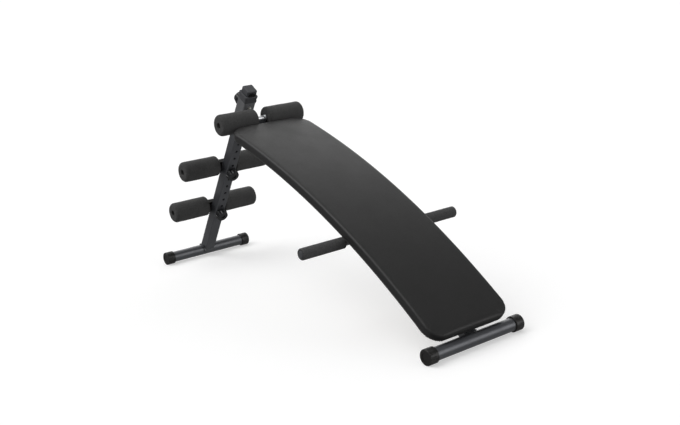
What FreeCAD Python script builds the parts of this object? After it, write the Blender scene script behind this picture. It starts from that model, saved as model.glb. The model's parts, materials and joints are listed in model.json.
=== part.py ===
import FreeCAD, Part
import math
import os

# Decline sit-up bench.  Millimetres.
# Origin: on the floor, in the middle of the footprint, on the plane of symmetry.
# +X runs along the bench to its low end (where the head lies), +Y to the right
# of someone sitting on it and facing the rollers, +Z up.

V = FreeCAD.Vector
X_AXIS = V(1, 0, 0)
Y_AXIS = V(0, 1, 0)
Z_AXIS = V(0, 0, 1)

# ---- driving dimensions -------------------------------------------------
FOOT_SPACING = 1430.0      # rear foot axis to front foot axis
FOOT_LENGTH = 350.0        # over the end caps
TUBE_R = 19.0              # 38 mm round foot tube
TUBE_WALL = 2.0
CAP_R = 23.0               # end caps are what stands on the floor
CAP_LENGTH = 30.0
CAP_END = 5.0              # thickness of a cap's closed end
SEAT = 0.03                # radial gap of fixed round pieces in each other

POST_LEAN = 33.9           # degrees from upright, toward the low end
POST_SIZE = 38.0           # square tube
POST_WALL = 2.5
POST_CORNER = 4.0
POST_TOP = 752.0           # along the post from the rear foot's axis
PLUG_HEAD = 5.5            # plug in the post's top: what shows above the tube
PLUG_DEPTH = 18.0
STOP_R = 12.5              # half-round stop on the post's front
STOP_THICK = 4.0
STOP_RIVET_R = 2.5
STOP_RIVET_HEAD_R = 4.2
HOLE_FIRST = 204.0         # lowest adjusting hole, same measure
HOLE_PITCH = 32.5
HOLE_COUNT = 16
HOLE_R = 5.0

SLEEVE_SIZE = 45.0         # square tube that rides on the post
SLEEVE_WALL = 2.5
SLEEVE_FROM = 608.0
SLEEVE_TO = 712.0
COLLAR_STEP = 728.0        # the collar is wider from here up
COLLAR_TOP = 738.0
COLLAR_SIZE = 48.0
SKIRT = 14.0               # how far the collar reaches down inside the sleeve
BUSH_SIZE = 41.5           # the lower bush's flange, under the sleeve
BUSH_FLANGE = 2.0
BUSH_DEPTH = 30.0
SLEEVE_CORNER = 4.5
LINER_CORNER = 1.9
RUNNING = 0.1              # sliding clearance of the liners on the post
GAP = 0.3                  # between fixed neighbours that stay clear of each other

ARC_R = 2635.8             # the board's arch, at the pad's upper side edge
ARC_X = -920.1             # centre of the arch
ARC_Z = -1995.1
BOARD_FROM = 15.54         # degrees from upright about that centre
BOARD_TO = 38.62
BOARD_WIDTH = 294.0
BOARD_CORNER = 50.0
PAD_SIDE = 28.0            # pad and plywood together, at the side
PAD_CROWN = 5.0
PLY_THICK = 12.0
PLY_INSET = 5.0

STRAP_THICK = 3.0          # flat steel straps between beam and plywood
STRAP_ANGLES = (18.1, 26.9, 35.7)
STRAP_LENGTH = 190.0
STRAP_HALF_DEG = 0.42
BEAM_ARCH_FROM = 17.6      # the beam runs straight from here to the sleeve
BEAM_DEPTH = 28.0
BEAM_WIDTH = 38.0
BEAM_WALL = 2.0
BEAM_STRAIGHT = 290.0      # length of the straight part, before the sleeve cuts it
BEAM_END = 38.95

BAR_R = 8.0                # roller bars
ROLLER_R = 35.5
ROLLER_LENGTH = 137.0
ROLLER_ROUND = 10.0        # at a roller's outer end
ROLLER_INNER_ROUND = 6.5
RECESS_R = 10.0            # hole in a roller's outer end
RECESS_DEPTH = 10.0
CORE_R = 12.0
CORE_FIT = 0.05            # radial running clearance of a roller on its bar
CARRIER_OFFSET = 30.2      # bar axis behind the post's axis
SADDLE_BACK = -44.0        # the carrier's moulded block, in the post's frame
SADDLE_FROM = -26.5        # below and above its stud
SADDLE_TO = 18.5
SADDLE_RELIEF = 4.9        # lets the sleeve come down over the block's top edge
CARRIER_INNER = 32.3       # where the lower rollers begin, from the middle
UPPER_INNER = 22.5         # where the upper rollers begin
UPPER_BAR_X = -250.0
UPPER_BAR_Z = 554.0
RING_R = 10.5              # stop rings beside the upper rollers
RING_WIDTH = 4.0
STAND_LENGTH = 24.0        # the upper bar's stand, a short piece of tube
STAND_WIDTH = 30.0
STAND_WALL = 2.0
MID_HOLE = 6               # which hole each roller carrier is bolted to
LOW_HOLE = 0
SLEEVE_HOLE = 15           # which hole locks the sleeve

STUD_R = 4.0               # M8 studs
STUD_FIT = 0.05
KNOB_R = 23.5
KNOB_FRONT_R = 19.5
KNOB_LOBES = 7
KNOB_HEAD = 19.5
KNOB_HUB = 2.5
KNOB_HUB_R = 10.0
KNOB_DISH_R = 8.0
KNOB_NOTCH_R = 7.5         # the scallops between the lobes
KNOB_NOTCH_AT = 26.5
WASHER_R = 11.0
WASHER_THICK = 1.6
WASHER_GAP = 0.05
THREAD_IN_KNOB = 13.0
NUT_FLATS = 13.0
NUT_THICK = 4.5

GRIP_ANGLE = 29.35         # where the grip bar crosses the beam
GRIP_DROP = 14.7           # grip bar's axis below the beam's top
GRIP_BAR_R = 11.0
GRIP_R = 17.25
GRIP_OUTER = 290.0
GRIP_INNER = 140.0
GRIP_BAR_WALL = 2.0

SCREW_ALONG = 703.0        # side clamp screw, through sleeve and collar skirt
SCREW_R = 3.0
SCREW_HEAD_R = 10.0
SCREW_HEAD = 12.0
SCREW_IN_HEAD = 9.0

WELD = 3.5                 # how far the beam's welds stand out
BOLT_OUT = 70.0            # board bolts, from the middle
BOLT_R = 3.0
BOLT_HOLE_R = 3.1
BOLT_HEAD_R = 6.0
BOLT_HEAD = 4.0
BOLT_REACH = 10.0          # into the plywood
TEE_R = 4.5
TEE_FLANGE_R = 9.0
TEE_FLANGE = 1.5

REAR_X = -FOOT_SPACING / 2
FRONT_X = FOOT_SPACING / 2
FOOT_Z = CAP_R
HALF_POST = POST_SIZE / 2
HALF_SLEEVE = SLEEVE_SIZE / 2
ARC_CENTRE = V(ARC_X, 0, ARC_Z)
UNDERSIDE_R = ARC_R - PAD_SIDE
BEAM_TOP_R = UNDERSIDE_R - STRAP_THICK

os.makedirs("parts", exist_ok=True)


def save(name, *solids):
    """Write one node: one solid, or several separate ones."""
    shape = solids[0] if len(solids) == 1 else Part.makeCompound(list(solids))
    for solid in shape.Solids:
        if not solid.isValid():
            raise ValueError(name + " is not a valid solid")
    shape.exportStep("parts/" + name + ".step")


def moved(shape, vector):
    out = shape.copy()
    out.translate(vector)
    return out


def mirrored(shape):
    """The same piece on the other side of the bench."""
    return shape.mirror(V(0, 0, 0), Y_AXIS)


def hole_along(index):
    return HOLE_FIRST + index * HOLE_PITCH


def on_post(shape):
    """From the post's own frame (x forward, z up the post) to the bench's."""
    out = shape.copy()
    out.rotate(V(0, 0, 0), Y_AXIS, POST_LEAN)
    out.translate(V(REAR_X, 0, FOOT_Z))
    return out


def rounded_square(size, corner, z0, z1):
    """A square prism about the z axis with rounded long edges."""
    box = Part.makeBox(size, size, z1 - z0, V(-size / 2, -size / 2, z0))
    if corner <= 0:
        return box
    edges = [e for e in box.Edges if abs(e.Vertexes[0].Z - e.Vertexes[1].Z) > 1e-6]
    return box.makeFillet(corner, edges)


def square_tube(size, wall, corner, z0, z1):
    outer = rounded_square(size, corner, z0, z1)
    inner = rounded_square(size - 2 * wall, max(corner - wall, 0.5), z0 - 1, z1 + 1)
    return outer.cut(inner)


def rod(radius, start, end):
    """A cylinder between two points."""
    run = end.sub(start)
    return Part.makeCylinder(radius, run.Length, start, run)


def hex_prism(across_flats, start, end):
    run = end.sub(start)
    side = across_flats / math.sqrt(3)
    points = []
    for k in range(7):
        angle = math.radians(60 * k)
        points.append(V(side * math.cos(angle), side * math.sin(angle), 0))
    prism = Part.Face(Part.makePolygon(points)).extrude(V(0, 0, run.Length))
    prism.Placement = FreeCAD.Placement(start, FreeCAD.Rotation(Z_AXIS, run))
    return prism


def turned(points, axis_x, axis_z):
    """Turn a profile of (radius, y) points about a line parallel to Y."""
    profile = Part.makePolygon([V(r, y, 0) for r, y in points + points[:1]])
    solid = Part.Face(profile).revolve(V(0, 0, 0), Y_AXIS, 360)
    return moved(solid, V(axis_x, 0, axis_z))


def rounded_roll(radius, bore, y0, y1, rounding0, rounding1, axis_x, axis_z):
    """A foam sleeve: a thick tube along Y with a rounded rim at each end."""
    tube = rod(radius, V(axis_x, y0, axis_z), V(axis_x, y1, axis_z))
    for end, rounding in ((y0, rounding0), (y1, rounding1)):
        rim = [e for e in tube.Edges if e.Closed and abs(e.Vertexes[0].Y - end) < 1e-6]
        tube = tube.makeFillet(rounding, rim)
    return tube.cut(rod(bore, V(axis_x, y0 - 1, axis_z), V(axis_x, y1 + 1, axis_z)))


# ---- pieces that follow the board's arch --------------------------------

def arch_point(radius, degrees, y=0.0):
    angle = math.radians(degrees)
    return V(ARC_X + radius * math.sin(angle), y, ARC_Z + radius * math.cos(angle))


def sweep_arch(face, start, end):
    """Revolve a face drawn in the upright plane through the arch's centre."""
    placed = face.copy()
    placed.rotate(ARC_CENTRE, Y_AXIS, start)
    return placed.revolve(ARC_CENTRE, Y_AXIS, end - start)


def arch_block(r0, r1, y0, y1, start, end):
    corners = [(r0, y0), (r0, y1), (r1, y1), (r1, y0), (r0, y0)]
    face = Part.Face(Part.makePolygon([V(ARC_X, y, ARC_Z + r) for r, y in corners]))
    return sweep_arch(face, start, end)


def crowned_block(r0, r1, crown, half_width, start, end):
    """As arch_block, with a top that bulges across the width."""
    left = V(ARC_X, -half_width, ARC_Z + r1)
    right = V(ARC_X, half_width, ARC_Z + r1)
    top = Part.Arc(left, V(ARC_X, 0, ARC_Z + r1 + crown), right).toShape()
    low_left = V(ARC_X, -half_width, ARC_Z + r0)
    low_right = V(ARC_X, half_width, ARC_Z + r0)
    rest = Part.makePolygon([right, low_right, low_left, left])
    face = Part.Face(Part.Wire([top] + rest.Edges))
    return sweep_arch(face, start, end)


def arch_radius(point):
    return math.hypot(point.x - ARC_X, point.z - ARC_Z)


def round_corners(shape, corner):
    """Round the four corners of an arched block, as seen from above."""
    corners = []
    for edge in shape.Edges:
        start, end = edge.Vertexes[0].Point, edge.Vertexes[-1].Point
        along_width = abs(start.y - end.y) > 1e-6
        if not along_width and abs(arch_radius(start) - arch_radius(end)) > 1.0:
            corners.append(edge)
    return shape.makeFillet(corner, corners)


# ---- feet ---------------------------------------------------------------

def foot_tube(x):
    half = FOOT_LENGTH / 2 - CAP_END
    outer = rod(TUBE_R, V(x, -half, FOOT_Z), V(x, half, FOOT_Z))
    return outer.cut(rod(TUBE_R - TUBE_WALL, V(x, -half - 1, FOOT_Z), V(x, half + 1, FOOT_Z)))


def foot_cap(x):
    """A cup pushed over the tube's right end, with finger ribs at its rim."""
    end = FOOT_LENGTH / 2
    cup = rod(CAP_R, V(x, end - CAP_LENGTH, FOOT_Z), V(x, end, FOOT_Z))
    rim = [e for e in cup.Edges if e.Closed]
    cup = cup.makeChamfer(1.2, rim)
    cup = cup.cut(rod(TUBE_R + SEAT, V(x, end - CAP_LENGTH - 1, FOOT_Z), V(x, end - CAP_END, FOOT_Z)))
    ribs = 16
    for k in range(ribs):
        angle = math.radians(-90 + 360.0 * (k + 0.5) / ribs)
        gx = x + (CAP_R + 0.9) * math.cos(angle)
        gz = FOOT_Z + (CAP_R + 0.9) * math.sin(angle)
        cup = cup.cut(rod(2.0, V(gx, end - 20, gz), V(gx, end + 1, gz)))
    disc = rod(14.0, V(x, end - 1.2, FOOT_Z), V(x, end + 1, FOOT_Z))
    return cup.cut(disc)


for foot, foot_x in (("rear", REAR_X), ("front", FRONT_X)):
    save(foot + "_foot_tube", foot_tube(foot_x))
    save(foot + "_foot_cap_right", foot_cap(foot_x))
    save(foot + "_foot_cap_left", mirrored(foot_cap(foot_x)))


# ---- post ---------------------------------------------------------------

def stud_line(along, y=0.0):
    """Ends of a line through the post, front to back, at this height on it."""
    return V(-60, y, along), V(60, y, along)


post = square_tube(POST_SIZE, POST_WALL, POST_CORNER, 4.0, POST_TOP)
foot_space = rod(TUBE_R + SEAT, V(0, -40, 0), V(0, 40, 0))
post = post.cut(foot_space)
for hole in range(HOLE_COUNT):
    post = post.cut(rod(HOLE_R, *stud_line(hole_along(hole))))
save("post_tube", on_post(post))

bead_half = HALF_POST + 4.0
bead = rounded_square(2 * bead_half, 0, 0, 60)
bead = bead.common(rod(TUBE_R + 4.5, V(0, -bead_half, 0), V(0, bead_half, 0)))
bead = bead.cut(foot_space)
bead = bead.cut(rounded_square(POST_SIZE + 0.04, POST_CORNER, -10, 80))
bead = bead.cut(rounded_square(60, 0, -32, 8))
save("post_foot_weld", on_post(bead))

post_bore = POST_SIZE - 2 * POST_WALL
plug_cup = rounded_square(post_bore - 0.1, 1.5, POST_TOP - PLUG_DEPTH, POST_TOP)
plug_cup = plug_cup.cut(rounded_square(post_bore - 5, 1.0, POST_TOP - PLUG_DEPTH - 1, POST_TOP - 2))
plug_top = rounded_square(POST_SIZE, POST_CORNER, POST_TOP, POST_TOP + PLUG_HEAD)
top_rim = [e for e in plug_top.Edges if min(v.Z for v in e.Vertexes) > POST_TOP + PLUG_HEAD - 0.1]
plug_top = plug_top.makeChamfer(1.6, top_rim)
save("post_top_plug", on_post(plug_cup.fuse(plug_top).removeSplitter()))

stop_low = COLLAR_TOP + GAP
stop = Part.makeCylinder(STOP_R, STOP_THICK, V(HALF_POST, 0, stop_low), X_AXIS)
stop = stop.cut(Part.makeBox(10, 40, 20, V(HALF_POST - 1, -20, stop_low - 20)))
rivet_seat = V(HALF_POST, 0, stop_low + 5.7)
rivet_step = rivet_seat.add(X_AXIS * STOP_THICK)
save("post_stop", on_post(stop.cut(rod(STOP_RIVET_R, rivet_seat.sub(X_AXIS), rivet_step.add(X_AXIS)))))
rivet = rod(STOP_RIVET_HEAD_R, rivet_step, rivet_step.add(X_AXIS * 1.2))
rivet = rivet.fuse(rod(STOP_RIVET_R, rivet_seat, rivet_step))
save("post_stop_rivet", on_post(rivet.removeSplitter()))


# ---- rollers and the bars that carry them -------------------------------

def roller_foam(inner, axis_x, axis_z):
    outer = inner + ROLLER_LENGTH
    foam = rounded_roll(ROLLER_R, RECESS_R, inner, outer, ROLLER_INNER_ROUND, ROLLER_ROUND,
                        axis_x, axis_z)
    core_end = outer - RECESS_DEPTH - GAP
    return foam.cut(rod(CORE_R, V(axis_x, inner - 1, axis_z), V(axis_x, core_end, axis_z)))


def roller_core(inner, axis_x, axis_z):
    outer = inner + ROLLER_LENGTH - RECESS_DEPTH - GAP
    core = rod(CORE_R, V(axis_x, inner + 0.5, axis_z), V(axis_x, outer, axis_z))
    bore = rod(BAR_R + CORE_FIT, V(axis_x, inner - 1, axis_z), V(axis_x, outer + 1, axis_z))
    return core.cut(bore)


def bar_end_cap(inner, axis_x, axis_z):
    """A push-on cap, down in the recess, that keeps the roller on its bar."""
    face = inner + ROLLER_LENGTH - RECESS_DEPTH
    rim = RECESS_R - 0.5
    bore = BAR_R + SEAT
    return turned([(0, face + 4.0), (rim - 3.0, face + 4.0), (rim, face + 2.2), (rim, face),
                   (bore, face), (bore, face + 2.0), (0, face + 2.0)], axis_x, axis_z)


def save_rollers(prefix, inner, axis_x, axis_z):
    foam = roller_foam(inner, axis_x, axis_z)
    core = roller_core(inner, axis_x, axis_z)
    save(prefix + "_roller_foam_right", foam)
    save(prefix + "_roller_foam_left", mirrored(foam))
    save(prefix + "_roller_core_right", core)
    save(prefix + "_roller_core_left", mirrored(core))
    cap = bar_end_cap(inner, axis_x, axis_z)
    save(prefix + "_bar_end_caps", cap, mirrored(cap))


def carrier_axis(along):
    """Where a carrier's bar is in the bench's frame."""
    point = on_post(Part.Vertex(-CARRIER_OFFSET, 0, along)).Point
    return point.x, point.z


def carrier_bar(along):
    half = CARRIER_INNER + ROLLER_LENGTH - RECESS_DEPTH + 2.0
    bar = rod(BAR_R, V(-CARRIER_OFFSET, -half, along), V(-CARRIER_OFFSET, half, along))
    return bar.cut(rod(STUD_R + STUD_FIT, V(-CARRIER_OFFSET - 4, 0, along), V(0, 0, along)))


def carrier_saddle(along):
    """A moulded block behind the post that the bar runs through."""
    half = CARRIER_INNER - GAP
    front = -HALF_POST - GAP
    body = Part.makeBox(front - SADDLE_BACK, 2 * half, SADDLE_TO - SADDLE_FROM,
                        V(SADDLE_BACK, -half, along + SADDLE_FROM))
    back_edges = [e for e in body.Edges if max(v.X for v in e.Vertexes) < SADDLE_BACK + 0.1]
    body = body.makeFillet(7.0, back_edges)
    relief = Part.makeBox(20, 100, 20, V(front - SADDLE_RELIEF, -50, along + SADDLE_TO - 8.5))
    body = body.cut(relief)
    bar = V(-CARRIER_OFFSET, 0, along)
    body = body.cut(rod(BAR_R + SEAT, bar.sub(Y_AXIS * 60), bar.add(Y_AXIS * 60)))
    return body.cut(rod(HOLE_R, bar, V(0, 0, along)))


def star_knob(start, outward):
    """A lobed plastic head; start is its hub's face and outward its axis."""
    hub = Part.makeCylinder(KNOB_HUB_R, KNOB_HUB + 1)
    head = Part.makeCone(KNOB_R, KNOB_FRONT_R, KNOB_HEAD, V(0, 0, KNOB_HUB))
    rim = [e for e in head.Edges if e.Closed]
    head = head.makeFillet(1.8, rim)
    for k in range(KNOB_LOBES):
        angle = math.radians(360.0 * k / KNOB_LOBES)
        notch = V(KNOB_NOTCH_AT * math.cos(angle), KNOB_NOTCH_AT * math.sin(angle), KNOB_HUB - 1)
        head = head.cut(Part.makeCylinder(KNOB_NOTCH_R, KNOB_HEAD + 2, notch))
    knob = head.fuse(hub).removeSplitter()
    knob = knob.cut(Part.makeCylinder(KNOB_DISH_R, 5, V(0, 0, KNOB_HUB + KNOB_HEAD - 3)))
    knob = knob.cut(Part.makeCylinder(STUD_R, THREAD_IN_KNOB + 1, V(0, 0, -1)))
    knob.Placement = FreeCAD.Placement(start, FreeCAD.Rotation(Z_AXIS, outward))
    return knob


def knob_stud(start, outward, reach):
    """The stud in a knob, with the washer under its hub."""
    stud = rod(STUD_R, start.sub(outward * reach), start.add(outward * THREAD_IN_KNOB))
    rims = [e for e in stud.Edges if e.Closed]
    stud = stud.makeChamfer(0.8, rims)
    washer = rod(WASHER_R, start.sub(outward * WASHER_THICK), start)
    return stud.fuse(washer).removeSplitter()


for prefix, hole in (("mid", MID_HOLE), ("low", LOW_HOLE)):
    along = hole_along(hole)
    bar_x, bar_z = carrier_axis(along)
    save(prefix + "_roller_bar", on_post(carrier_bar(along)))
    save(prefix + "_bar_saddle", on_post(carrier_saddle(along)))
    save_rollers(prefix, CARRIER_INNER, bar_x, bar_z)
    hub_face = V(HALF_POST + WASHER_GAP + WASHER_THICK, 0, along)
    save(prefix + "_knob", on_post(star_knob(hub_face, X_AXIS)))
    save(prefix + "_knob_stud", on_post(knob_stud(hub_face, X_AXIS, HALF_POST + CARRIER_OFFSET)))

save_rollers("upper", UPPER_INNER, UPPER_BAR_X, UPPER_BAR_Z)
upper_half = UPPER_INNER + ROLLER_LENGTH - RECESS_DEPTH + 2.0
bar_start = V(UPPER_BAR_X, -upper_half, UPPER_BAR_Z)
bar_end = V(UPPER_BAR_X, upper_half, UPPER_BAR_Z)
save("upper_roller_bar", rod(BAR_R, bar_start, bar_end))

ring_from = UPPER_INNER - GAP - RING_WIDTH
ring = rod(RING_R, V(UPPER_BAR_X, ring_from, UPPER_BAR_Z),
           V(UPPER_BAR_X, ring_from + RING_WIDTH, UPPER_BAR_Z))
ring = ring.cut(rod(BAR_R, V(UPPER_BAR_X, 0, UPPER_BAR_Z), V(UPPER_BAR_X, UPPER_INNER, UPPER_BAR_Z)))
save("upper_bar_stop_rings", ring, mirrored(ring))


# ---- sleeve on the post -------------------------------------------------

lock_along = hole_along(SLEEVE_HOLE)
sleeve = square_tube(SLEEVE_SIZE, SLEEVE_WALL, SLEEVE_CORNER, SLEEVE_FROM, SLEEVE_TO)
sleeve = sleeve.cut(rod(STUD_R + STUD_FIT, *stud_line(lock_along)))
screw_space = rod(SCREW_R + STUD_FIT, V(0, 0, SCREW_ALONG), V(0, 60, SCREW_ALONG))
sleeve = sleeve.cut(screw_space)
save("height_sleeve", on_post(sleeve))

liner_out = SLEEVE_SIZE - 2 * SLEEVE_WALL - 0.1
liner_in = POST_SIZE + 2 * RUNNING
collar = rounded_square(COLLAR_SIZE, 5.0, COLLAR_STEP, COLLAR_TOP)
collar_rim = [e for e in collar.Edges if min(v.Z for v in e.Vertexes) > COLLAR_TOP - 0.1]
collar = collar.makeChamfer(1.5, collar_rim)
collar = collar.fuse(rounded_square(SLEEVE_SIZE, SLEEVE_CORNER, SLEEVE_TO, COLLAR_STEP))
collar = collar.fuse(rounded_square(liner_out, LINER_CORNER, SLEEVE_TO - SKIRT, SLEEVE_TO))
collar = collar.cut(rounded_square(liner_in, POST_CORNER, SLEEVE_TO - 20, COLLAR_TOP + 5))
collar = collar.cut(screw_space)
save("sleeve_collar", on_post(collar.removeSplitter()))

bush = rounded_square(BUSH_SIZE, 4.0, SLEEVE_FROM - BUSH_FLANGE, SLEEVE_FROM)
bush = bush.fuse(rounded_square(liner_out, LINER_CORNER, SLEEVE_FROM, SLEEVE_FROM + BUSH_DEPTH))
bush = bush.cut(rounded_square(liner_in, POST_CORNER, SLEEVE_FROM - 10, SLEEVE_FROM + BUSH_DEPTH + 10))
save("sleeve_lower_bush", on_post(bush.removeSplitter()))

nut_from = V(HALF_SLEEVE, 0, lock_along)
nut_to = V(HALF_SLEEVE + NUT_THICK, 0, lock_along)
nut = hex_prism(NUT_FLATS, nut_from, nut_to).cut(rod(STUD_R + STUD_FIT, *stud_line(lock_along)))
save("sleeve_lock_nut", on_post(nut))

back = V(-1, 0, 0)
lock_face = V(-HALF_SLEEVE - WASHER_GAP - WASHER_THICK, 0, lock_along)
save("sleeve_knob", on_post(star_knob(lock_face, back)))
save("sleeve_knob_stud", on_post(knob_stud(lock_face, back, 2 * HALF_SLEEVE + 8.5)))

head_face = V(0, HALF_SLEEVE + 0.4, SCREW_ALONG)
screw_head = rod(SCREW_HEAD_R, head_face, head_face.add(Y_AXIS * SCREW_HEAD))
screw_rims = [e for e in screw_head.Edges if e.Closed]
screw_head = screw_head.makeFillet(2.5, screw_rims)
screw_end = head_face.add(Y_AXIS * SCREW_IN_HEAD)
screw_head = screw_head.cut(rod(SCREW_R, head_face.sub(Y_AXIS), screw_end))
save("side_screw_head", on_post(screw_head))
screw_tip = V(0, HALF_POST + 0.05, SCREW_ALONG)
save("side_screw_stud", on_post(rod(SCREW_R, screw_tip, screw_end)))


# ---- arched beam, straps and front end ----------------------------------

beam_low_r = BEAM_TOP_R - BEAM_DEPTH
half_beam = BEAM_WIDTH / 2


def beam_block(grow, end):
    """The beam's outside, grown all round: straight from the sleeve, then arched."""
    low, high, half = beam_low_r - grow, BEAM_TOP_R + grow, half_beam + grow
    bend = math.radians(BEAM_ARCH_FROM)
    back = V(-BEAM_STRAIGHT * math.cos(bend), 0, BEAM_STRAIGHT * math.sin(bend))
    middle = (BEAM_ARCH_FROM + end) / 2
    top = [arch_point(high, degrees, -half) for degrees in (BEAM_ARCH_FROM, middle, end)]
    under = [arch_point(low, degrees, -half) for degrees in (BEAM_ARCH_FROM, middle, end)]
    outline = Part.Wire([
        Part.makeLine(top[0].add(back), top[0]), Part.Arc(*top).toShape(),
        Part.makeLine(top[2], under[2]), Part.Arc(under[2], under[1], under[0]).toShape(),
        Part.makeLine(under[0], under[0].add(back)),
        Part.makeLine(under[0].add(back), top[0].add(back))])
    return Part.Face(outline).extrude(V(0, 2 * half, 0))


beam_outside = beam_block(0, BEAM_END)
sleeve_face = HALF_SLEEVE + 0.02
sleeve_side = on_post(Part.makeBox(300, 200, 500, V(sleeve_face - 300, -100, 400)))
front_space = rod(TUBE_R + SEAT, V(FRONT_X, -60, FOOT_Z), V(FRONT_X, 60, FOOT_Z))
grip_at = arch_point(BEAM_TOP_R - GRIP_DROP, GRIP_ANGLE)
grip_space = rod(GRIP_BAR_R + SEAT, grip_at.sub(Y_AXIS * 40), grip_at.add(Y_AXIS * 40))
beam = beam_outside.cut(beam_block(-BEAM_WALL, BEAM_END + 0.5))
beam = beam.cut(sleeve_side).cut(front_space).cut(grip_space)
save("main_beam", beam)

weld_zone = on_post(Part.makeBox(4.0, 80, 92, V(sleeve_face, -40, SLEEVE_FROM + 12)))
save("beam_sleeve_weld", beam_block(WELD, 19.0).common(weld_zone).cut(beam_outside))

weld_half = half_beam + WELD
foot_bead = rod(TUBE_R + 4.0, V(FRONT_X, -weld_half, FOOT_Z), V(FRONT_X, weld_half, FOOT_Z))
foot_bead = foot_bead.cut(front_space)
foot_bead = foot_bead.common(arch_block(beam_low_r, BEAM_TOP_R, -weld_half, weld_half,
                                        36.0, BEAM_END - 0.2))
beam_space = arch_block(beam_low_r - 5, BEAM_TOP_R + 5, -half_beam, half_beam, 35.0, 41.0)
foot_bead = foot_bead.cut(beam_space)
save("beam_foot_weld", *foot_bead.Solids)

bar_radius = math.hypot(UPPER_BAR_X - ARC_X, UPPER_BAR_Z - ARC_Z)
bar_angle = math.degrees(math.atan2(UPPER_BAR_X - ARC_X, UPPER_BAR_Z - ARC_Z))
stand_height = bar_radius - BEAM_TOP_R + 10
stand = Part.makeBox(STAND_LENGTH, STAND_WIDTH, stand_height,
                     V(-STAND_LENGTH / 2, -STAND_WIDTH / 2, BEAM_TOP_R - 10))
inner_length = STAND_LENGTH - 2 * STAND_WALL
inner_width = STAND_WIDTH - 2 * STAND_WALL
stand = stand.cut(Part.makeBox(inner_length, inner_width, stand_height + 10,
                               V(-inner_length / 2, -inner_width / 2, BEAM_TOP_R - 15)))
stand.rotate(V(0, 0, 0), Y_AXIS, bar_angle)
stand = moved(stand, ARC_CENTRE).cut(beam_outside)
stand = stand.cut(rod(BAR_R, V(UPPER_BAR_X, -60, UPPER_BAR_Z), V(UPPER_BAR_X, 60, UPPER_BAR_Z)))
stand = max(stand.Solids, key=lambda s: s.Volume)
save("upper_bar_stand", stand)

straps = []
bolts = []
tee_nuts = []
bolt_holes = []
for degrees in STRAP_ANGLES:
    strap = arch_block(BEAM_TOP_R, UNDERSIDE_R, -STRAP_LENGTH / 2, STRAP_LENGTH / 2,
                       degrees - STRAP_HALF_DEG, degrees + STRAP_HALF_DEG)
    for side in (-1, 1):
        y = side * BOLT_OUT
        low = arch_point(BEAM_TOP_R - BOLT_HEAD, degrees, y)
        seat = arch_point(BEAM_TOP_R, degrees, y)
        tip = arch_point(UNDERSIDE_R + BOLT_REACH, degrees, y)
        strap = strap.cut(rod(BOLT_HOLE_R, low, tip))
        bolt = rod(BOLT_HEAD_R, low, seat).fuse(rod(BOLT_R, seat, tip))
        bolts.append(bolt.removeSplitter())
        barrel = arch_point(UNDERSIDE_R + 1.5, degrees, y)
        flange = arch_point(UNDERSIDE_R + PLY_THICK - TEE_FLANGE, degrees, y)
        top = arch_point(UNDERSIDE_R + PLY_THICK, degrees, y)
        thread_end = arch_point(UNDERSIDE_R + BOLT_REACH + 0.5, degrees, y)
        tee = rod(TEE_R, barrel, top).fuse(rod(TEE_FLANGE_R, flange, top))
        tee_nuts.append(tee.cut(rod(BOLT_HOLE_R, low, thread_end)).removeSplitter())
        bolt_holes.append(rod(TEE_R, seat, top))
        above = arch_point(UNDERSIDE_R + PLY_THICK + 1, degrees, y)
        bolt_holes.append(rod(TEE_FLANGE_R, flange, above))
    straps.append(strap)
save("board_straps", *straps)
save("board_bolts", *bolts)
save("board_tee_nuts", *tee_nuts)


# ---- board --------------------------------------------------------------

half_board = BOARD_WIDTH / 2
inset_deg = math.degrees(PLY_INSET / ARC_R)
ply_half = half_board - PLY_INSET
ply_corner = BOARD_CORNER - PLY_INSET
ply_from = BOARD_FROM + inset_deg
ply_to = BOARD_TO - inset_deg
ply = arch_block(UNDERSIDE_R, UNDERSIDE_R + PLY_THICK, -ply_half, ply_half, ply_from, ply_to)
ply = round_corners(ply, ply_corner)
for hole in bolt_holes:
    ply = ply.cut(hole)
save("board_plywood", ply)

ply_gap = 0.2
gap_deg = math.degrees(ply_gap / ARC_R)
pad = crowned_block(UNDERSIDE_R, ARC_R, PAD_CROWN, half_board, BOARD_FROM, BOARD_TO)
pad = round_corners(pad, BOARD_CORNER)
upper_edges = []
for edge in pad.Edges:
    middle = edge.valueAt((edge.FirstParameter + edge.LastParameter) / 2)
    if arch_radius(middle) > ARC_R - 0.5:
        upper_edges.append(edge)
pad = pad.makeFillet(9.0, upper_edges)
pocket = arch_block(UNDERSIDE_R - 5, UNDERSIDE_R + PLY_THICK + ply_gap,
                    -ply_half - ply_gap, ply_half + ply_gap, ply_from - gap_deg, ply_to + gap_deg)
pocket = round_corners(pocket, ply_corner)
save("board_pad", pad.cut(pocket))


# ---- grip bar -----------------------------------------------------------

bar_half = GRIP_OUTER - 3.0
plug_reach = bar_half - 14.0
bar_bore = GRIP_BAR_R - GRIP_BAR_WALL
grip_bar = rod(GRIP_BAR_R, grip_at.sub(Y_AXIS * bar_half), grip_at.add(Y_AXIS * bar_half))
grip_bar = grip_bar.cut(rod(bar_bore, grip_at.sub(Y_AXIS * 400), grip_at.add(Y_AXIS * 400)))
save("grip_bar", grip_bar)

grip = rounded_roll(GRIP_R, GRIP_BAR_R + SEAT, GRIP_INNER, GRIP_OUTER - 1.0, 2.0, 4.0,
                    grip_at.x, grip_at.z)
plug = turned([(0, GRIP_OUTER), (9.0, GRIP_OUTER), (GRIP_BAR_R, GRIP_OUTER - 1.5),
               (GRIP_BAR_R, bar_half), (bar_bore, bar_half), (bar_bore, plug_reach), (0, plug_reach)],
              grip_at.x, grip_at.z)
save("grip_foam_right", grip)
save("grip_foam_left", mirrored(grip))
save("grip_bar_plugs", plug, mirrored(plug))
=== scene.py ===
import json
import math
import random

import bmesh
import bpy
from mathutils import Matrix, Vector, noise


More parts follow.
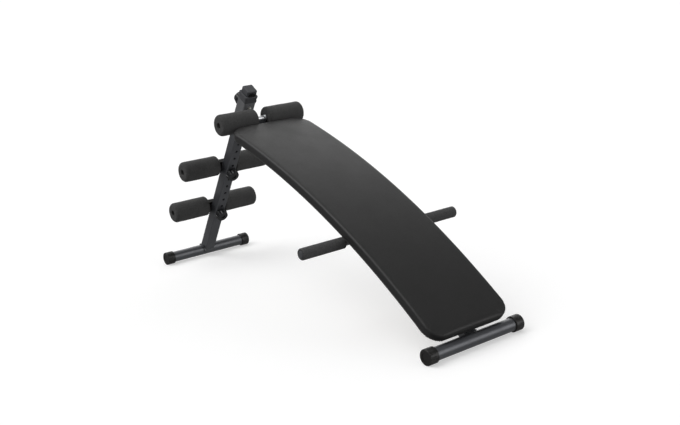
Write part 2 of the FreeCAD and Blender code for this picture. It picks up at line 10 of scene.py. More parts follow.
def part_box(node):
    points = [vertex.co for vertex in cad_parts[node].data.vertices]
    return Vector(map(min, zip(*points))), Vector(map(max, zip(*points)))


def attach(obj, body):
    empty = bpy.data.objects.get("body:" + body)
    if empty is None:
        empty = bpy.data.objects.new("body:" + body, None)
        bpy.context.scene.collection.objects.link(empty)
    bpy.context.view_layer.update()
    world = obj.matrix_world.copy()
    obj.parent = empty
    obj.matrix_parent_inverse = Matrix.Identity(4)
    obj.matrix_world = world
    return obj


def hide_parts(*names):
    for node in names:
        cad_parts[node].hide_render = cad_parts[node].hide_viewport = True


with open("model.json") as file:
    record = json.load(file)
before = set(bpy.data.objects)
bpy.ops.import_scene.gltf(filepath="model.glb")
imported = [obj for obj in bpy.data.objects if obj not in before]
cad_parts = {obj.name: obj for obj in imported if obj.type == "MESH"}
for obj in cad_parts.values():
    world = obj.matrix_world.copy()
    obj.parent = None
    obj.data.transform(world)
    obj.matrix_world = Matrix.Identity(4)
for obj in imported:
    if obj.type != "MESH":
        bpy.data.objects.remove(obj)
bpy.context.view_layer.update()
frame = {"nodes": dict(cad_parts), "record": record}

# Metres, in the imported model's frame: origin on the floor, +X to the low end,
# +Y to the sitter's right, +Z up.
MM = 0.001
FRAME_BODY = "bench_frame"

# The board's arch, as the part has it: circle through the pad's upper side edge.
ARC_R = 2635.8 * MM
ARC_X = -920.1 * MM
ARC_Z = -1995.1 * MM
BOARD_FROM = math.radians(15.54)
BOARD_TO = math.radians(38.62)
PAD_SIDE = 28 * MM
UNDERSIDE_R = ARC_R - PAD_SIDE
HALF_BOARD = (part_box("board_pad")[1][1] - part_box("board_pad")[0][1]) / 2
BOARD_CORNER = 50 * MM
BOARD_LENGTH = ARC_R * (BOARD_TO - BOARD_FROM)


# ---- camera ---------------------------------------------------------------

AZIMUTH, ELEVATION, ROLL = 53.78, 13.83, -4.70
CAMERA_PLACE = (2.59158, -1.78473, 1.03569)
SENSOR_WIDTH = 36
LENS = 53.7882353
FAR_CLIP = 2000


def add_camera():
    """A camera at CAMERA_PLACE, turned by three angles in degrees."""
    azimuth, elevation, roll = math.radians(AZIMUTH), math.radians(ELEVATION), math.radians(ROLL)
    back = Vector((math.sin(azimuth) * math.cos(elevation),
                   -math.cos(azimuth) * math.cos(elevation), math.sin(elevation)))
    right = Vector((math.cos(azimuth), math.sin(azimuth), 0))
    up = back.cross(right)
    x_axis = right * math.cos(roll) + up * math.sin(roll)
    y_axis = up * math.cos(roll) - right * math.sin(roll)
    data = bpy.data.cameras.new("camera")
    data.sensor_width = SENSOR_WIDTH
    data.lens = LENS
    data.clip_end = FAR_CLIP
    camera = bpy.data.objects.new("camera", data)
    bpy.context.scene.collection.objects.link(camera)
    pose = Matrix((x_axis, y_axis, back)).transposed().to_4x4()
    pose.translation = CAMERA_PLACE
    camera.matrix_world = pose
    bpy.context.scene.camera = camera


add_camera()


# ---- materials --------------------------------------------------------------

class Finish:
    """A node-based material under construction, in object coordinates (metres)."""

    def __init__(self, name, **values):
        self.material = bpy.data.materials.new(name)
        self.material.use_nodes = True
        self.tree = self.material.node_tree
        self.shader = self.tree.nodes["Principled BSDF"]
        self.position = self.add("ShaderNodeTexCoord").outputs["Object"]
        for key, value in values.items():
            socket = self.shader.inputs[key.replace("_", " ")]
            if isinstance(value, tuple) and len(value) == 3 and socket.type == "RGBA":
                value = (*value, 1.0)
            socket.default_value = value

    def add(self, kind, settings=(), **inputs):
        made = self.tree.nodes.new(kind)
        for key, value in settings:
            setattr(made, key, value)
        for key, value in inputs.items():
            self.feed(made.inputs[key.replace("_", " ")], value)
        return made

    def feed(self, socket, value):
        if isinstance(value, bpy.types.NodeSocket):
            self.tree.links.new(value, socket)
        else:
            socket.default_value = value

    def stretched(self, x, y, z):
        """The position, scaled unevenly so that a texture runs along one axis."""
        return self.add("ShaderNodeMapping", Vector=self.position, Scale=(x, y, z)).outputs[0]

    def noise(self, scale, detail=3.0, rough=0.5, at=None):
        made = self.add("ShaderNodeTexNoise", Vector=at or self.position, Scale=scale,
                        Detail=detail, Roughness=rough)
        return made.outputs["Fac"]

    def cells(self, scale, feature="DISTANCE_TO_EDGE", at=None):
        made = self.add("ShaderNodeTexVoronoi", [("feature", feature)],
                        Vector=at or self.position, Scale=scale)
        return made.outputs["Distance"]

    def remap(self, value, low, high, to_low, to_high):
        made = self.add("ShaderNodeMapRange", Value=value)
        for socket, number in zip(("From Min", "From Max", "To Min", "To Max"),
                                  (low, high, to_low, to_high)):
            made.inputs[socket].default_value = number
        return made.outputs[0]

    def sum(self, first, second, operation="ADD"):
        """Two values added, or joined by another operation."""
        made = self.add("ShaderNodeMath", [("operation", operation)])
        self.feed(made.inputs[0], first)
        self.feed(made.inputs[1], second)
        return made.outputs[0]

    def between(self, factor, first, second):
        made = self.add("ShaderNodeMix", [("data_type", "RGBA")])
        self.feed(made.inputs[0], factor)
        for socket, value in ((made.inputs[6], first), (made.inputs[7], second)):
            self.feed(socket, (*value, 1.0) if isinstance(value, tuple) else value)
        return made.outputs[2]

    def edges(self, radius):
        """1 on sharp edges, 0 on flat ground."""
        soft = self.add("ShaderNodeBevel", [("samples", 4)], Radius=radius).outputs[0]
        hard = self.add("ShaderNodeNewGeometry").outputs["Normal"]
        dot = self.add("ShaderNodeVectorMath", [("operation", "DOT_PRODUCT")])
        self.feed(dot.inputs[0], soft)
        self.feed(dot.inputs[1], hard)
        return self.remap(dot.outputs["Value"], 0.985, 0.80, 0.0, 1.0)

    def colour(self, value):
        self.feed(self.shader.inputs["Base Color"], value)

    def roughness(self, value):
        self.feed(self.shader.inputs["Roughness"], value)

    def bump(self, *layers):
        """Layers of (height, distance, strength), the coarsest first."""
        normal = None
        for height, distance, strength in layers:
            made = self.add("ShaderNodeBump", Height=height, Distance=distance, Strength=strength)
            if normal is not None:
                self.feed(made.inputs["Normal"], normal)
            normal = made.outputs[0]
        self.feed(self.shader.inputs["Normal"], normal)


def metallic_paint(name, dark, light, worn):
    """Satin powder coat with a metallic fleck, rubbed along its edges."""
    paint = Finish(name, Metallic=0.55, Specular_IOR_Level=0.5, Coat_Weight=0.25, Coat_Roughness=0.22)
    mottle = paint.noise(14, 4.0, 0.6)
    fleck = paint.noise(2600, 2.0, 0.7)
    rubbed = paint.sum(paint.edges(1.2 * MM), paint.remap(paint.noise(90, 5.0, 0.7), 0.42, 0.62, 0, 1),
                       "MULTIPLY")
    base = paint.between(paint.remap(mottle, 0.3, 0.7, 0, 1), dark, light)
    base = paint.between(paint.remap(fleck, 0.62, 0.78, 0, 0.5), base, worn)
    paint.colour(paint.between(paint.sum(rubbed, 0.5, "MULTIPLY"), base, worn))
    paint.roughness(paint.sum(paint.remap(paint.noise(38, 4.0, 0.6), 0.3, 0.7, 0.33, 0.44),
                              paint.remap(fleck, 0.3, 0.8, -0.03, 0.05)))
    paint.bump((paint.noise(420, 2.0, 0.5), 0.12 * MM, 0.35), (fleck, 0.03 * MM, 0.25))
    return paint.material


def weld_bead():
    """Paint over the stacked ripples of a weld."""
    bead = Finish("weld_paint", Metallic=0.5, Coat_Weight=0.2, Coat_Roughness=0.25)
    ripple = bead.cells(260, "SMOOTH_F1")
    lumps = bead.noise(160, 4.0, 0.6)
    # Painted light and shade: the lumps that raise the bump below also turn the colour lighter on their
    # crowns and darker in their dips.
    bead.colour(bead.between(bead.remap(lumps, 0.35, 0.65, 0, 1), (0.060, 0.062, 0.068),
                             (0.11, 0.113, 0.12)))
    bead.roughness(bead.remap(lumps, 0.3, 0.7, 0.30, 0.50))
    bead.bump((lumps, 0.8 * MM, 0.5), (ripple, 0.9 * MM, 0.7))
    return bead.material


def moulded(name, dark, light, rough, grain=900.0, depth=0.06, worn=None):
    """Injection-moulded plastic: fine spark-eroded grain, scuffed edges."""
    plastic = Finish(name, Specular_IOR_Level=0.42)
    cloud = plastic.noise(30, 4.0, 0.55)
    base = plastic.between(plastic.remap(cloud, 0.3, 0.7, 0, 1), dark, light)
    if worn:
        scuff = plastic.sum(plastic.edges(0.9 * MM),
                            plastic.remap(plastic.noise(240, 4.0, 0.7), 0.35, 0.6, 0, 1), "MULTIPLY")
        base = plastic.between(plastic.sum(scuff, 0.6, "MULTIPLY"), base, worn)
    plastic.colour(base)
    plastic.roughness(plastic.remap(plastic.noise(70, 5.0, 0.6), 0.3, 0.7, rough - 0.06, rough + 0.07))
    plastic.bump((plastic.cells(grain), depth * MM, 0.35), (plastic.noise(grain * 2, 2.0), 0.03 * MM, 0.3))
    return plastic.material


FOAM_GRAIN = 330.0


def foam(name, dark, light, pores, sheen):
    """Closed-cell foam: a dull skin with fine pores and shallow dents, with painted shade darkening the
    pits and the grain's low spots.
    """
    made = Finish(name, Specular_IOR_Level=0.22, Sheen_Weight=sheen, Sheen_Roughness=0.55)
    cloud = made.noise(26, 5.0, 0.6)
    cell = made.cells(pores)
    pit = made.cells(pores * 0.37, "F1")
    base = made.between(made.remap(cloud, 0.32, 0.68, 0, 1), dark, light)
    # Dark speckle from noise of the same scale as the grain bump below: partly tone grain, partly painted
    # shade in the grain's low spots.
    speckle_and_shade = made.remap(made.noise(FOAM_GRAIN, 4.0, 0.7), 0.36, 0.64, 0.45, 0.0)
    base = made.between(speckle_and_shade, base, (0.015, 0.015, 0.015))
    # Painted shade: the pits, which the bump below dents, are darkened towards black in the colour.
    made.colour(made.between(made.remap(pit, 0.10, 0.22, 0.55, 0.0), base, (0.004, 0.004, 0.004)))
    made.roughness(made.remap(made.noise(180, 3.0), 0.3, 0.7, 0.72, 0.92))
    made.bump((made.noise(60, 3.0), 0.5 * MM, 0.25), (made.noise(FOAM_GRAIN, 3.0, 0.6), 0.6 * MM, 0.35),
              (cell, 0.25 * MM, 0.45),
              (made.remap(pit, 0.08, 0.25, 0.0, 1.0), 0.2 * MM, 0.5))
    return made.material


def grained_vinyl():
    """Black upholstery vinyl: pebbled grain in two sizes, soft sheen, rubbed high spots, and painted shade
    in the valleys between the pebbles.
    """
    vinyl = Finish("vinyl_black", Specular_IOR_Level=0.40, Sheen_Weight=0.05, Sheen_Roughness=0.4,
                   Coat_Weight=0.03, Coat_Roughness=0.35)
    warp = vinyl.add("ShaderNodeVectorMath", [("operation", "MULTIPLY_ADD")])
    drift = vinyl.add("ShaderNodeTexNoise", Vector=vinyl.position, Scale=300.0, Detail=2.0)
    vinyl.feed(warp.inputs[0], drift.outputs["Color"])
    warp.inputs[1].default_value = (0.0012, 0.0012, 0.0012)
    vinyl.feed(warp.inputs[2], vinyl.position)
    pebble = vinyl.cells(520, at=warp.outputs[0])
    small = vinyl.cells(1350, at=warp.outputs[0])
    crease = vinyl.noise(9, 6.0, 0.65)
    cloud = vinyl.remap(vinyl.noise(5, 4.0, 0.6), 0.3, 0.7, 0, 1)
    base = vinyl.between(cloud, (0.0095, 0.0095, 0.0098), (0.0135, 0.0133, 0.0136))
    mottle = vinyl.remap(vinyl.noise(420, 3.0, 0.65), 0.36, 0.64, 0.0, 0.8)
    base = vinyl.between(mottle, base, (0.0195, 0.0192, 0.0188))
    # Painted shade: the valleys between the pebbles, where the bump below sinks, are darkened towards
    # black.
    base = vinyl.between(vinyl.remap(pebble, 0.0, 0.12, 0.55, 0.0), base, (0.006, 0.006, 0.006))
    vinyl.colour(base)
    vinyl.roughness(vinyl.sum(vinyl.remap(crease, 0.3, 0.7, 0.40, 0.50),
                              vinyl.remap(pebble, 0.0, 0.3, 0.06, -0.03)))
    vinyl.bump((crease, 1.2 * MM, 0.10), (vinyl.remap(pebble, 0.0, 0.25, 0.0, 1.0), 0.16 * MM, 0.42),
               (vinyl.remap(small, 0.0, 0.25, 0.0, 1.0), 0.05 * MM, 0.30))
    return vinyl.material


def bright_steel():
    """Plated bar with fine turning lines around it and faint finger marks."""
    steel = Finish("bar_steel", Metallic=1.0, Anisotropic=0.35)
    lines = steel.noise(1.0, 3.0, 0.6, at=steel.stretched(60, 4200, 60))
    marks = steel.noise(55, 5.0, 0.65)
    steel.colour(steel.between(steel.remap(marks, 0.35, 0.7, 0, 1), (0.78, 0.79, 0.80),
                               (0.62, 0.63, 0.65)))
    steel.roughness(steel.sum(steel.remap(marks, 0.3, 0.7, 0.26, 0.38),
                              steel.remap(lines, 0.3, 0.7, -0.03, 0.05)))
    steel.bump((lines, 0.02 * MM, 0.4))
    return steel.material


def zinc_plate():
    """Zinc-plated fasteners with a slightly blue and yellow bloom."""
    zinc = Finish("zinc_steel", Metallic=1.0)
    bloom = zinc.noise(180, 4.0, 0.6)
    spangle = zinc.cells(900, "F1")
    tint = zinc.between(zinc.remap(bloom, 0.35, 0.65, 0, 1), (0.60, 0.62, 0.66), (0.68, 0.65, 0.56))
    zinc.colour(tint)
    zinc.roughness(zinc.remap(spangle, 0.1, 0.7, 0.28, 0.44))
    zinc.bump((zinc.noise(1500, 2.0), 0.03 * MM, 0.4))
    return zinc.material


def birch_plywood():
    """Rotary-cut birch: long figure on the faces, thin dark glue lines at the edges."""
    ply = Finish("plywood", Specular_IOR_Level=0.3)
    figure = ply.noise(1.0, 5.0, 0.6, at=ply.stretched(7, 60, 60))
    fibre = ply.noise(1.0, 4.0, 0.7, at=ply.stretched(60, 900, 900))
    knots = ply.cells(7, "F1")
    base = ply.between(ply.remap(figure, 0.3, 0.7, 0, 1), (0.50, 0.355, 0.215), (0.63, 0.48, 0.31))
    base = ply.between(ply.remap(fibre, 0.45, 0.75, 0, 0.45), base, (0.33, 0.22, 0.13))
    ply.colour(ply.between(ply.remap(knots, 0.03, 0.09, 0.6, 0.0), base, (0.20, 0.12, 0.07)))
    ply.roughness(ply.remap(fibre, 0.3, 0.7, 0.55, 0.75))
    ply.bump((fibre, 0.12 * MM, 0.5))
    return ply.material


MATERIALS = {
    "frame_paint": metallic_paint("frame_paint", (0.082, 0.085, 0.094), (0.105, 0.109, 0.118),
                                  (0.24, 0.245, 0.26)),
    # Painted light: the sleeve wears the frame's same powder coat, given lighter colours to stand in for
    # the brighter light on the post's upper end.
    "sleeve_paint": metallic_paint("sleeve_paint", (0.175, 0.179, 0.188), (0.215, 0.220, 0.230),
                                   (0.34, 0.345, 0.36)),
    "weld_paint": weld_bead(),
    "black_plastic": moulded("black_plastic", (0.008, 0.0075, 0.007), (0.013, 0.012, 0.0115), 0.40,
                             worn=(0.05, 0.048, 0.046)),
    "knob_plastic": moulded("knob_plastic", (0.010, 0.0105, 0.012), (0.016, 0.017, 0.019), 0.24,
                            grain=1100.0, depth=0.04, worn=(0.09, 0.09, 0.092)),
    "plug_plastic": moulded("plug_plastic", (0.060, 0.062, 0.068), (0.078, 0.080, 0.086), 0.62),
    "core_plastic": moulded("core_plastic", (0.022, 0.022, 0.023), (0.030, 0.030, 0.031), 0.5),
    "foam_black": foam("foam_black", (0.066, 0.066, 0.066), (0.080, 0.0795, 0.079), 1500.0, 0.04),
    "grip_rubber": foam("grip_rubber", (0.080, 0.080, 0.081), (0.095, 0.095, 0.096), 2200.0, 0.0),
    "stop_rubber": moulded("stop_rubber", (0.006, 0.006, 0.006), (0.010, 0.010, 0.010), 0.7),
    "bar_steel": bright_steel(),
    "zinc_steel": zinc_plate(),
    "vinyl_black": grained_vinyl(),
    "plywood": birch_plywood(),
}


def wear(piece, slot_name):
    """Give a piece its finish."""
    material = MATERIALS[slot_name]
    if piece.material_slots:
        for held in piece.material_slots:
            held.material = material
    else:
        piece.data.materials.append(material)


SLOT_OF = {entry["node"]: entry["material_slot"] for entry in frame["record"]["subparts"]}
for node_name, node in frame["nodes"].items():
    wear(node, SLOT_OF[node_name])


def new_piece(name, mesh, body, slot_name):
    """Put a finished mesh into the scene, riding on its body."""
    piece = bpy.data.objects.new(name, mesh)
    bpy.context.scene.collection.objects.link(piece)
    for polygon in mesh.polygons:
        polygon.use_smooth = True
    wear(piece, slot_name)
    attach(piece, body)
    return piece


def mesh_of(bm, name):
    """Turn a finished bmesh into a mesh with its normals outwards."""
    bmesh.ops.recalc_face_normals(bm, faces=bm.faces)
    mesh = bpy.data.meshes.new(name)
    bm.to_mesh(mesh)
    bm.free()
    return mesh


# ---- foam rollers and grips -------------------------------------------------

def arc_points(centre, radius, start, end, steps):
    """Points of an arc in a profile's (along, radius) plane, angles in degrees."""
    points = []
    for k in range(steps + 1):
        angle = math.radians(start + (end - start) * k / steps)
        points.append((centre[0] + radius * math.cos(angle), centre[1] + radius * math.sin(angle)))
    return points


def divided(start, end, pieces):
    """Points between two ends, ends left out."""
    return [(start[0] + (end[0] - start[0]) * k / pieces, start[1] + (end[1] - start[1]) * k / pieces)
            for k in range(1, pieces)]


LIP = 2.2 * MM
RECESS_SLOPE = 0.3 * MM
SAME_PLACE = 0.05 * MM
ROLLER = {"bore": 12.0 * MM, "rounds": (6.5 * MM, 11.0 * MM), "recess": (9.6 * MM, 10.0 * MM),
          "dent": 0.6 * MM, "segments": 112}
GRIP = {"bore": 11.05 * MM, "rounds": (2.0 * MM, 4.5 * MM), "recess": (11.7 * MM, 1.5 * MM),
        "dent": 0.25 * MM, "segments": 80}


def tube_profile(inner, outer, radius, bore, rounds, recess):
    """A foam sleeve's half section as (along, radius) points.

    rounds are the radii of its inner and outer rims; recess is the radius and depth of the hole
    in its outer end.
    """
    round_in, round_out = rounds
    recess_r, recess_depth = recess
    recess_floor = outer - recess_depth
    profile = [(inner, bore)] + divided((inner, bore), (inner, radius - round_in), 5)
    profile += arc_points((inner + round_in, radius - round_in), round_in, 180, 90, 9)
    profile += divided((inner + round_in, radius), (outer - round_out, radius), 26)
    profile += arc_points((outer - round_out, radius - round_out), round_out, 90, 0, 9)
    profile += divided((outer, radius - round_out), (outer, recess_r + LIP), 6)
    profile += arc_points((outer - LIP, recess_r + LIP), LIP, 0, -90, 4)
    profile += divided((outer - LIP, recess_r), (recess_floor, recess_r), 3)
    profile += [(recess_floor, recess_r), (recess_floor - RECESS_SLOPE, bore)]
    return profile + divided((recess_floor - RECESS_SLOPE, bore), (inner, bore), 6)


def skin_shift(point, dent, seed):
    """How far a point of the foam's skin stands out, from broad dents and small ones."""
    place = point * 22 + Vector((seed, 0, 0))
    return dent * (noise.noise(place) - 0.35) + 0.25 * dent * noise.noise(place * 5)


def foam_tube(name, node_name, body, slot_name, seed, bore, rounds, recess, dent, segments):
    """A foam sleeve turned from its CAD box, with a softly uneven skin."""
    low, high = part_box(node_name)
    side = 1 if high[1] > 0 else -1
    inner, outer = sorted((abs(low[1]), abs(high[1])))
    axis_x, axis_z = (low[0] + high[0]) / 2, (low[2] + high[2]) / 2
    radius = (high[2] - low[2]) / 2
    bm = bmesh.new()
    rings = []
    for along, r in tube_profile(inner, outer, radius, bore, rounds, recess):
        at_inner, at_outer = abs(along - inner) < SAME_PLACE, abs(along - outer) < SAME_PLACE
        ring = []
        for k in range(segments):
            angle = 2 * math.pi * k / segments
            point = Vector((axis_x + r * math.cos(angle), side * along, axis_z + r * math.sin(angle)))
            if at_outer and not at_inner:
                point.y -= side * 0.6 * dent * (noise.noise(point * 60) + 0.5)
            elif not at_inner and r > recess[0] + 2 * LIP:
                shift = skin_shift(point, dent, seed)
                point.x += shift * math.cos(angle)
                point.z += shift * math.sin(angle)
            ring.append(bm.verts.new(point))
        rings.append(ring)
    for first, second in zip(rings, rings[1:] + rings[:1]):
        for k in range(segments):
            after = (k + 1) % segments
            bm.faces.new((first[k], first[after], second[after], second[k]))
    piece = new_piece(name, mesh_of(bm, name), body, slot_name)
    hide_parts(node_name)


for index, (row, side) in enumerate((r, s) for r in ("low", "mid", "upper") for s in ("left", "right")):
    foam_tube(f"{row}_foam_roller_{side}", f"{row}_roller_foam_{side}", f"{row}_{side}_roller",
              "foam_black", 3.7 * index, **ROLLER)

for index, side in enumerate(("left", "right")):
    foam_tube(f"hand_grip_{side}", f"grip_foam_{side}", FRAME_BODY, "grip_rubber", 31.0 + 5 * index,
              **GRIP)


# ---- the board's cushion ----------------------------------------------------

def outline(inset, arc_steps=10):
    """The board's rounded rectangle, shrunk, as (along, across) points."""
    corner = BOARD_CORNER - inset
    points = []
    for u, v, start in ((BOARD_LENGTH, 1, 0), (0, 1, 90), (0, -1, 180), (BOARD_LENGTH, -1, 270)):
        centre_u = BOARD_CORNER if u == 0 else BOARD_LENGTH - BOARD_CORNER
        centre_v = v * (HALF_BOARD - BOARD_CORNER)
        for k in range(arc_steps + 1):
            angle = math.radians(start + 90 * k / arc_steps)
            points.append((centre_u + corner * math.cos(angle), centre_v + corner * math.sin(angle)))
    return points


def past_core(u, v):
    """How far a point lies outside the rectangle through the four corners' centres."""
    return (abs(u - BOARD_LENGTH / 2) - (BOARD_LENGTH / 2 - BOARD_CORNER),
            abs(v) - (HALF_BOARD - BOARD_CORNER))


def edge_distance(u, v):
    """How far a point of the board is inside its outline."""
    du, dv = past_core(u, v)
    if du > 0 and dv > 0:
        return BOARD_CORNER - math.hypot(du, dv)
    return BOARD_CORNER - max(du, dv)


def on_arch(u, v, height):
    """From the flat board to its place on the arch; height is above the plywood's underside."""
    angle = BOARD_FROM + u / ARC_R
    radius = UNDERSIDE_R + height
    return Vector((ARC_X + radius * math.sin(angle), v, ARC_Z + radius * math.cos(angle)))


def inwards(u, v):
    """Which way the middle of the board lies, square to its outline."""
    side_u = math.copysign(1, u - BOARD_LENGTH / 2)
    side_v = math.copysign(1, v)
    du, dv = past_core(u, v)
    if du > 0 and dv > 0:
        length = math.hypot(du, dv)
        return -side_u * du / length, -side_v * dv / length
    return (0.0, -side_v) if dv > du else (-side_u, 0.0)


def rounded_rim(u, v, height):
    """Pull the pad's square upper edge in to a quarter round."""
    out = RIM - edge_distance(u, v)
    rise = height - (PAD_SIDE - RIM)
    if out <= 0 or rise <= 0:
        return u, v, height
    out, rise = min(out, RIM), min(rise, RIM)
    pull = out * (1 - math.sqrt(1 - 0.5 * (rise / RIM) ** 2))
    drop = rise * (1 - math.sqrt(1 - 0.5 * (out / RIM) ** 2))
    along, across = inwards(u, v)
    return u + along * pull, v + across * pull, height - drop


def smooth_step(value, low, high):
    """0 below low, 1 above high, with a soft S between."""
    t = min(max((value - low) / (high - low), 0.0), 1.0)
    return t * t * (3 - 2 * t)


def board_blank(bottom, top, inset):
    """The cushion before it is filled: a flat slab with the board's outline."""
    bm = bmesh.new()
    rings = [[bm.verts.new((u, v, z)) for u, v in outline(inset)] for z in (bottom, top)]
    count = len(rings[0])
    for k in range(count):
        after = (k + 1) % count
        bm.faces.new((rings[0][k], rings[0][after], rings[1][after], rings[1][k]))
    bm.faces.new(rings[0])
    bm.faces.new(rings[1])
    return mesh_of(bm, "board_blank")


def apply_modifiers(piece):
    """Give a piece the mesh that its modifiers make, and drop them."""
    bpy.context.view_layer.update()
    shown = piece.evaluated_get(bpy.context.evaluated_depsgraph_get())
    mesh = bpy.data.meshes.new_from_object(shown)
    piece.modifiers.clear()
    old = piece.data
    piece.data = mesh
    bpy.data.meshes.remove(old)


def fill_with_foam(piece, held, pressure, cap, frames=20):
    """Blow the cover up with the cloth solver, holding some points, and limit how far it swells."""
    group = piece.vertex_groups.new(name="held")
    group.add([v.index for v in piece.data.vertices if held(v.co)], 1.0, "REPLACE")
    before = [v.co.copy() for v in piece.data.vertices]
    cloth = piece.modifiers.new("Cloth", "CLOTH")
    cloth.settings.quality = 6
    cloth.settings.mass = 0.3
    cloth.settings.use_pressure = True
    cloth.settings.uniform_pressure_force = pressure
    cloth.settings.tension_stiffness = 40
    cloth.settings.compression_stiffness = 40
    cloth.settings.shear_stiffness = 20
    cloth.settings.bending_stiffness = 2
    cloth.settings.vertex_group_mass = "held"
    cloth.settings.effector_weights.gravity = 0
    cloth.point_cache.frame_start = 1
    cloth.point_cache.frame_end = frames
    scene = bpy.context.scene
    for step in range(1, frames + 1):
        scene.frame_set(step)
    shown = piece.evaluated_get(bpy.context.evaluated_depsgraph_get())
    after = [v.co.copy() for v in shown.data.vertices]
    piece.modifiers.clear()
    scene.frame_set(1)
    for vertex, start, end in zip(piece.data.vertices, before, after):
        move = end - start
        if move.length > 1e-9:
            move *= cap * math.tanh(move.length / cap) / move.length
        vertex.co = start + move
    piece.vertex_groups.clear()


VOXEL = 4.5 * MM
SWELL = 1.2 * MM
PAD_BOTTOM = 1.5 * MM
PAD_CROWN = 4.2 * MM
RIM = 5.0 * MM

HEM_WIDTH = 30 * MM
HEM_DEPTH = 0.9 * MM
HEM_TOP = PAD_BOTTOM + 1.2 * MM
HEM_RAGGED = 1.5 * MM
HEM_TURN = (-1.0 * MM, 3.0 * MM)

# Pleats in the corners: where they start and stop around the quarter circle, in radians.
PLEATS_START = (0.0, 0.25)
PLEATS_STOP = (1.32, 1.57)
PLEAT_WAVES = 34
PLEAT_DEPTH = 0.5 * MM
PLEAT_BAND = 6 * MM
PLEAT_FADE = (4 * MM, 15 * MM)


def pleat_at(u, v):
    """How deep in a pleat a point is: 0 to 1 round a corner, 0 along the sides."""
    du, dv = past_core(u, v)
    around = math.atan2(dv, du)
    in_corner = smooth_step(around, *PLEATS_START) * (1 - smooth_step(around, *PLEATS_STOP))
    return in_corner * (0.5 + 0.5 * math.cos(around * PLEAT_WAVES))


def hemmed(u, v, height, pleat):
    """The height of the cover's underside, turned in under the board as a ragged hem."""
    inside = edge_distance(u, v)
    if inside < HEM_WIDTH + HEM_RAGGED * noise.noise(Vector((u * 40, v * 40, 0))):
        fold = smooth_step(inside, *HEM_TURN)
        height += (-HEM_DEPTH - height) * fold - PLEAT_DEPTH * pleat * fold
    return height


def gathered(u, v, height, pleat):
    """A point of the cover's side, drawn in by the pleats below it."""
    lean = (1 - smooth_step(height, *PLEAT_FADE)) * pleat * PLEAT_DEPTH
    towards = Vector((BOARD_LENGTH / 2 - u, -v)).normalized()
    return u + towards.x * lean, v + towards.y * lean


def on_pad(u, v, height):
    """From a point of the flat, filled cover to its place on the finished pad."""
    pleat = pleat_at(u, v)
    if height < HEM_TOP:
        height = hemmed(u, v, height, pleat)
    elif edge_distance(u, v) < PLEAT_BAND:
        u, v = gathered(u, v, height, pleat)
    u, v, height = rounded_rim(u, v, height)
    above = max(height - PAD_BOTTOM, 0)
    height += PAD_CROWN * (1 - (v / HALF_BOARD) ** 2) * above / (PAD_SIDE - PAD_BOTTOM)
    return on_arch(u, v, height)


def make_board_pad():
    """The vinyl cover: filled by simulation while flat, then bent over the arch and hemmed."""
    blank = board_blank(PAD_BOTTOM, PAD_SIDE - SWELL, SWELL)
    piece = new_piece("board_cushion", blank, FRAME_BODY, "vinyl_black")
    remesh = piece.modifiers.new("Remesh", "REMESH")
    remesh.mode = "VOXEL"
    remesh.voxel_size = VOXEL
    apply_modifiers(piece)
    fill_with_foam(piece, lambda co: co.z < PAD_BOTTOM + 0.5 * VOXEL, 1.0, SWELL)
    refine = piece.modifiers.new("Subdivision", "SUBSURF")
    refine.levels = refine.render_levels = 1
    apply_modifiers(piece)
    for vertex in piece.data.vertices:
        vertex.co = on_pad(*vertex.co)
    for polygon in piece.data.polygons:
        polygon.use_smooth = True
    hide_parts("board_pad")


make_board_pad()


STAPLE_HALF = 5.0 * MM
STAPLE_DROP = 1.6 * MM
STAPLE_BEVEL = (0.5 * MM, 0.4 * MM)
WIRE_RADIUS = 0.55 * MM
WIRE_SIDES = 6
STAPLE_SPACING = 27 * MM
STAPLE_FROM_HEM = 8 * MM
STAPLE_HEIGHT = -HEM_DEPTH - 0.25 * MM
ASKEW = 0.22
ASIDE = 1.5


def staple(bm, centre, along, across, up):
    """One wire staple: a bevelled crown with its two legs turned down."""
    in_from_end, down = STAPLE_BEVEL
    leg = [(-STAPLE_HALF, -STAPLE_DROP), (-STAPLE_HALF, -down), (-STAPLE_HALF + in_from_end, 0)]
    path = leg + [(-s, h) for s, h in reversed(leg)]
    rings = []
    for k, (s, h) in enumerate(path):
        before, after = path[max(k - 1, 0)], path[min(k + 1, len(path) - 1)]
        run = Vector((after[0] - before[0], after[1] - before[1])).normalized()
        ring = []
        for corner in range(WIRE_SIDES):
            angle = math.radians(360 / WIRE_SIDES * corner)
            a, b = WIRE_RADIUS * math.cos(angle), WIRE_RADIUS * math.sin(angle)
            point = centre + along * (s - run.y * a) + up * (h + run.x * a) + across * b
            ring.append(bm.verts.new(point))
        rings.append(ring)
    for first, second in zip(rings, rings[1:]):
        for k in range(WIRE_SIDES):
            after = (k + 1) % WIRE_SIDES
            bm.faces.new((first[k], first[after], second[after], second[k]))
    bm.faces.new(rings[0])
    bm.faces.new(rings[-1])


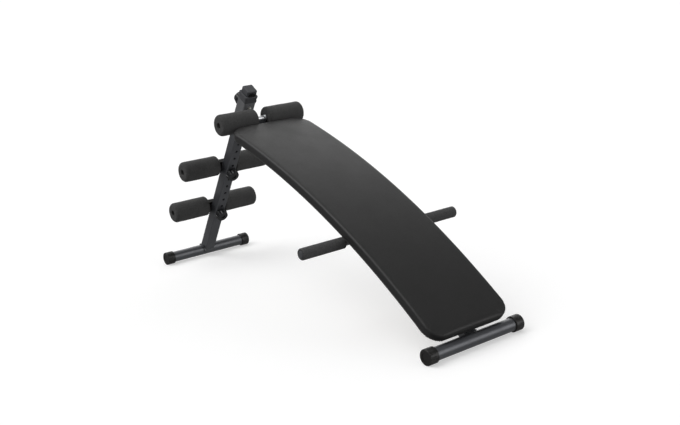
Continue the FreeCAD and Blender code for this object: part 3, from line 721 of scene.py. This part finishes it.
def make_staples():
    """A row of staples round the hem, each set a little askew."""
    rand = random.Random(21)
    bm = bmesh.new()
    path = outline(HEM_WIDTH - STAPLE_FROM_HEM, 12)
    left_over = 0.5 * STAPLE_SPACING
    for (u0, v0), (u1, v1) in zip(path, path[1:] + path[:1]):
        length = math.hypot(u1 - u0, v1 - v0)
        at = left_over
        while at < length:
            share = at / length
            u, v = u0 + (u1 - u0) * share, v0 + (v1 - v0) * share
            turn = math.atan2(v1 - v0, u1 - u0) + rand.uniform(-ASKEW, ASKEW)
            offset = rand.uniform(-ASIDE, ASIDE) * MM
            u, v = u - math.sin(turn) * offset, v + math.cos(turn) * offset
            centre = on_arch(u, v, STAPLE_HEIGHT)
            ahead = on_arch(u + math.cos(turn) * MM, v + math.sin(turn) * MM, STAPLE_HEIGHT)
            along = (ahead - centre).normalized()
            up = (on_arch(u, v, -2 * MM) - on_arch(u, v, 0)).normalized()
            staple(bm, centre, along, along.cross(up), up)
            at += STAPLE_SPACING
        left_over = at - length
    new_piece("board_staples", mesh_of(bm, "board_staples"), FRAME_BODY, "zinc_steel")


make_staples()


# ---- light, floor -----------------------------------------------------------

def add_sun(name, towards, spread, strength):
    """A soft, distant lamp: where it stands, its angular size in degrees, its strength."""
    data = bpy.data.lights.new(name, "SUN")
    data.energy = strength
    data.angle = math.radians(spread)
    light = bpy.data.objects.new(name, data)
    bpy.context.scene.collection.objects.link(light)
    light.rotation_euler = Vector(towards).to_track_quat("Z", "Y").to_euler()


AMBIENT = 0.18
# The tent's soft bright patches: direction, cosine of the half-width, brightness.
PATCHES = (((-0.72, 0.56, 0.44), 0.80, 1.4),
           ((-0.80, -0.58, -0.10), 0.50, 0.06),
           ((-0.39, -0.52, 0.77), 0.80, 3.0),
           ((0.80, 0.57, 0.20), 0.88, 2.1),
           ((0.25, -0.35, 0.90), 0.60, 0.35),
           ((0.62, -0.45, -0.64), -0.10, 0.18))


def add_world():
    """A dim tent with soft bright patches."""
    world = bpy.data.worlds.new("studio")
    world.use_nodes = True
    tree = world.node_tree
    position = tree.nodes.new("ShaderNodeTexCoord").outputs["Generated"]
    total = None
    for direction, edge, strength in PATCHES:
        dot = tree.nodes.new("ShaderNodeVectorMath")
        dot.operation = "DOT_PRODUCT"
        dot.inputs[1].default_value = Vector(direction).normalized()
        tree.links.new(position, dot.inputs[0])
        ramp = tree.nodes.new("ShaderNodeMapRange")
        ramp.interpolation_type = "SMOOTHSTEP"
        ramp.inputs["From Min"].default_value = edge
        tree.links.new(dot.outputs["Value"], ramp.inputs["Value"])
        gain = tree.nodes.new("ShaderNodeMath")
        gain.operation = "MULTIPLY_ADD"
        gain.inputs[1].default_value = strength
        gain.inputs[2].default_value = AMBIENT
        tree.links.new(ramp.outputs[0], gain.inputs[0])
        if total is not None:
            tree.links.new(total, gain.inputs[2])
        total = gain.outputs[0]
    background = tree.nodes["Background"]
    background.inputs["Color"].default_value = (1, 1, 1, 1)
    tree.links.new(total, background.inputs["Strength"])
    bpy.context.scene.world = world


FLOOR_REACH = 900.0
FLOOR_RINGS = 9
FLOOR_SIDES = 36
FLOOR_GLOW = 0.45


def add_floor():
    """A wide pale disc that doesn't light, shade or mirror in the bench."""
    bm = bmesh.new()
    angles = [math.radians(360 / FLOOR_SIDES * k) for k in range(FLOOR_SIDES)]
    centre = bm.verts.new((0, 0, 0))
    last = None
    for k in range(1, FLOOR_RINGS + 1):
        radius = FLOOR_REACH * (k / FLOOR_RINGS) ** 3
        ring = [bm.verts.new((radius * math.cos(a), radius * math.sin(a), 0)) for a in angles]
        for j in range(FLOOR_SIDES):
            after = (j + 1) % FLOOR_SIDES
            if last is None:
                bm.faces.new((centre, ring[j], ring[after]))
            else:
                bm.faces.new((last[j], ring[j], ring[after], last[after]))
        last = ring
    floor = bpy.data.objects.new("floor", mesh_of(bm, "floor"))
    bpy.context.scene.collection.objects.link(floor)
    paper = Finish("floor_paper", Roughness=0.95, Specular_IOR_Level=0.0,
                   Emission_Strength=FLOOR_GLOW, Emission_Color=(1, 1, 1))
    paper.colour(paper.between(paper.noise(3, 3.0), (0.62, 0.62, 0.62), (0.63, 0.63, 0.63)))
    floor.data.materials.append(paper.material)
    floor.visible_diffuse = False
    floor.visible_glossy = False
    floor.visible_shadow = False


add_world()
add_floor()
add_sun("sky", (-0.2, 0.25, 0.95), 50, 0.1)

bpy.context.scene.view_settings.view_transform = "Standard"
bpy.context.scene.view_settings.look = "None"
